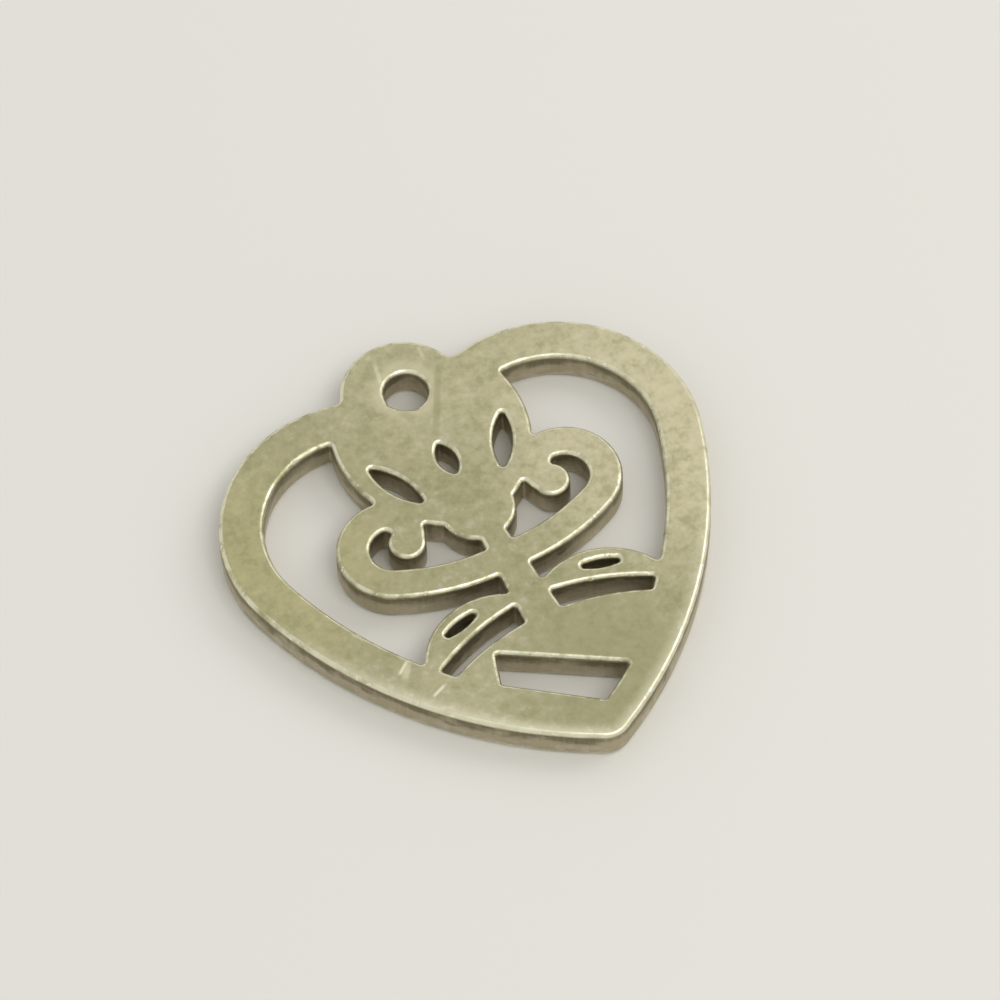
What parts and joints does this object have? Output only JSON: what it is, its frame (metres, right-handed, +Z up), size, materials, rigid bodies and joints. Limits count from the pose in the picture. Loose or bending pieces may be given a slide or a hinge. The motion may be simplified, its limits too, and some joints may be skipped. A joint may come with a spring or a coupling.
{
  "type": "milagro charm",
  "caption": "Flat pierced silver heart charm with a rounded hanging tab, openwork flower, scrolls and leaves, hung by a small round hole with two filed corners.",
  "frame": {"origin": "middle of the outline, on the surface that the charm lies on, with its pictured back face up", "axes": "+Z up out of the back face, +Y from the heart's point to the hanging tab, +X to the right in the back view"},
  "size_m": [0.0186, 0.019, 0.0013],
  "materials": {
    "silver": "satin, lightly tarnished silver"
  },
  "bodies": {
    "root": {"heart_frame": "silver", "hanging_tab": "silver", "ground_plate": "silver", "stem": "silver", "calyx": "silver", "centre_petal": "silver", "right_petal": "silver", "left_petal": "silver", "right_scroll": "silver", "left_scroll": "silver", "right_leaf": "silver", "left_leaf": "silver"}
  },
  "joints": []
}
